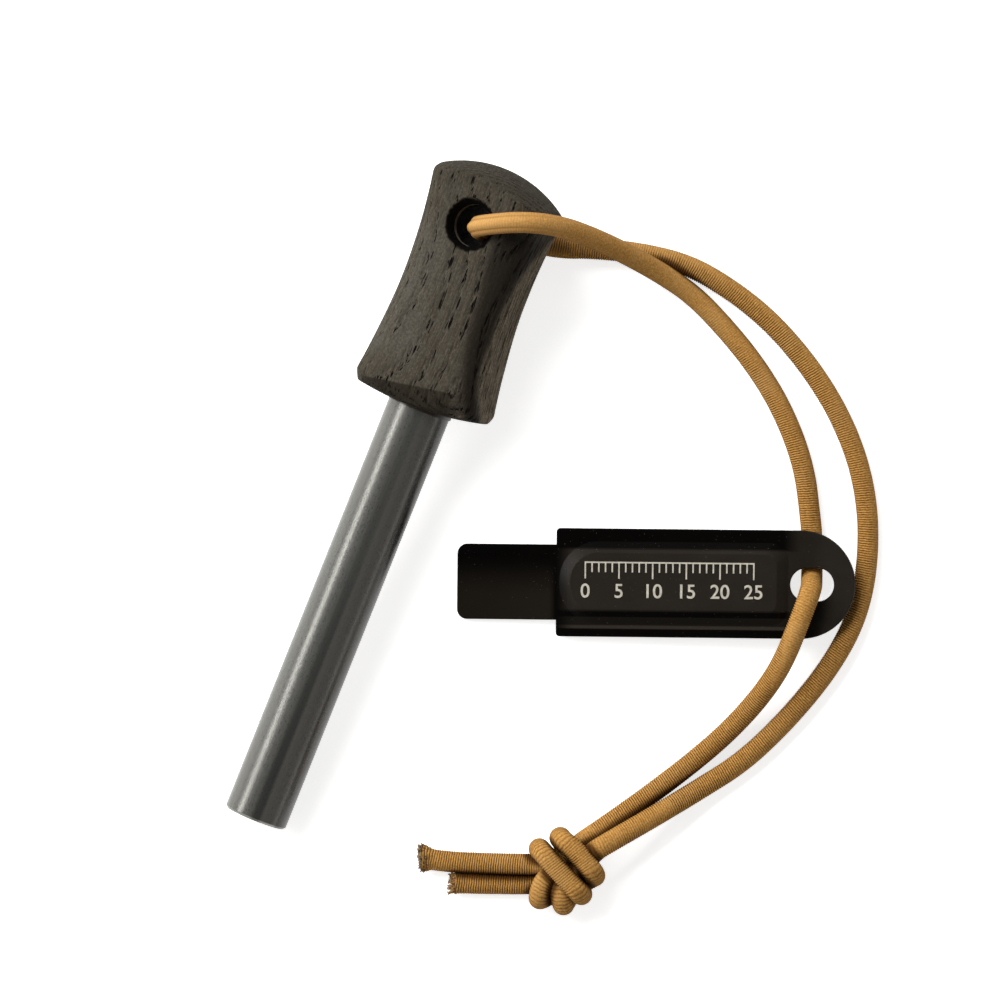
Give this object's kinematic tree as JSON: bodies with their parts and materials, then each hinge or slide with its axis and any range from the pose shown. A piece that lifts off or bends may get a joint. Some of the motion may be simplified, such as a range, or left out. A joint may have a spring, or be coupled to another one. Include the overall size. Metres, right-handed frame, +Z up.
{
  "type": "ferro rod fire starter",
  "caption": "Ferrocerium rod in a charred wooden handle, with a steel striker threaded on a knotted loop of elastic cord, laid out on a table.",
  "frame": {"origin": "on the table, under the middle of the box round handle, rod and striker", "axes": "+Y along the rod in plan, from its tip to the handle; +X to the striker and the loop of cord; +Z up from the table"},
  "size_m": [0.0842, 0.1032, 0.0247],
  "materials": {
    "charred_wood": "charred and oiled, open grain",
    "ferrocerium": "dark coated, drawn lengthwise",
    "set_glue": "set glue",
    "black_steel": "black semi-gloss coat",
    "cord_sheath": "woven, ribbed across",
    "rubber_core": "matt"
  },
  "bodies": {
    "tool": {"handle": "charred_wood", "ferro_rod": "ferrocerium", "epoxy_bond": "set_glue"},
    "lanyard": {"cord_front_sheath": "cord_sheath", "cord_front_core": "rubber_core", "cord_back_sheath": "cord_sheath", "cord_back_core": "rubber_core", "tail_long_sheath": "cord_sheath", "tail_long_core": "rubber_core", "tail_short_sheath": "cord_sheath", "tail_short_core": "rubber_core", "cord_knot": "cord_sheath"},
    "striker": {"striker": "black_steel"}
  },
  "joints": [
    {"name": "lanyard_swing", "type": "hinge", "parent": "tool", "child": "lanyard", "pos_m": [-0.02948, 0.04244, 0.01185], "axis": [0, 0, 1], "range_deg": [-12, 20]},
    {"name": "striker_swivel", "type": "hinge", "parent": "lanyard", "child": "striker", "pos_m": [0.03419, 0.01148, 0.0043], "axis": [-0.0654, -0.0255, 0.9975], "range_deg": [-35, 18]}
  ]
}
